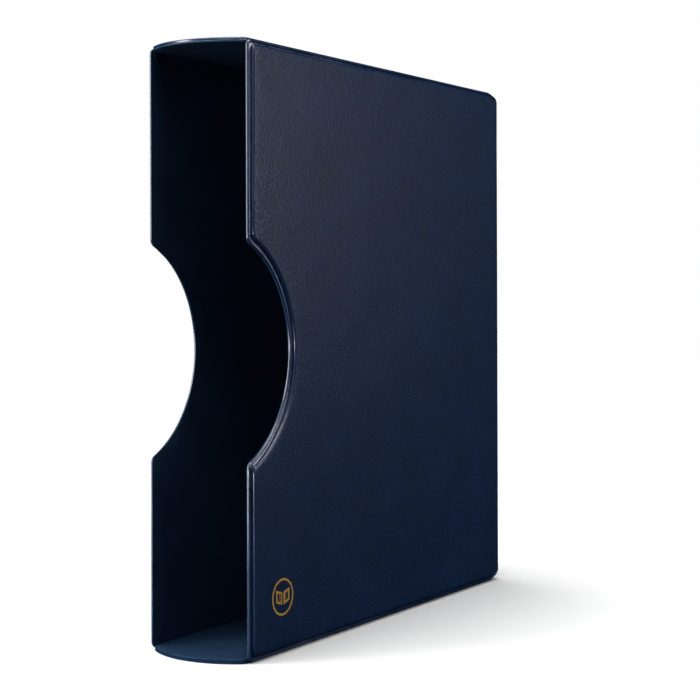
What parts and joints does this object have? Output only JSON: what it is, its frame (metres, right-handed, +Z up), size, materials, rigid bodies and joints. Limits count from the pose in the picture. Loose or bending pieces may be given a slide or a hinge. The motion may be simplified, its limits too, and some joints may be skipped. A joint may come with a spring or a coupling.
{
  "type": "archival box",
  "caption": "Open-fronted upright slipcase of welded imitation leather over board, with curved front edges top and bottom and a round thumb cut-out in both sides.",
  "frame": {"origin": "middle of the footprint, on the surface that the case stands on", "axes": "+Z up, -Y out of the open front, +X towards the side panel with the foil stamp"},
  "size_m": [0.069, 0.3, 0.328],
  "materials": {
    "cover_vinyl": "navy imitation leather with a fine grain, satin",
    "lining_vinyl": "smooth navy vinyl sheet, satin",
    "flange_vinyl": "navy vinyl pressed into fine ribs by the welding tool, satin",
    "greyboard": "grey pasteboard, matte",
    "foam": "thin polyether foam sheet, matte",
    "gold_foil": "hot-stamped gold foil, satin"
  },
  "bodies": {
    "root": {"back_board": "greyboard", "bottom_board": "greyboard", "foil_stamp": "gold_foil", "left_back_flange": "flange_vinyl", "left_board": "greyboard", "left_bottom_flange": "flange_vinyl", "left_cover": "cover_vinyl", "left_foam": "foam", "left_lining": "lining_vinyl", "left_top_flange": "flange_vinyl", "right_back_flange": "flange_vinyl", "right_board": "greyboard", "right_bottom_flange": "flange_vinyl", "right_cover": "cover_vinyl", "right_foam": "foam", "right_lining": "lining_vinyl", "right_top_flange": "flange_vinyl", "top_board": "greyboard", "wrap_cover": "cover_vinyl", "wrap_lining": "lining_vinyl"}
  },
  "joints": []
}
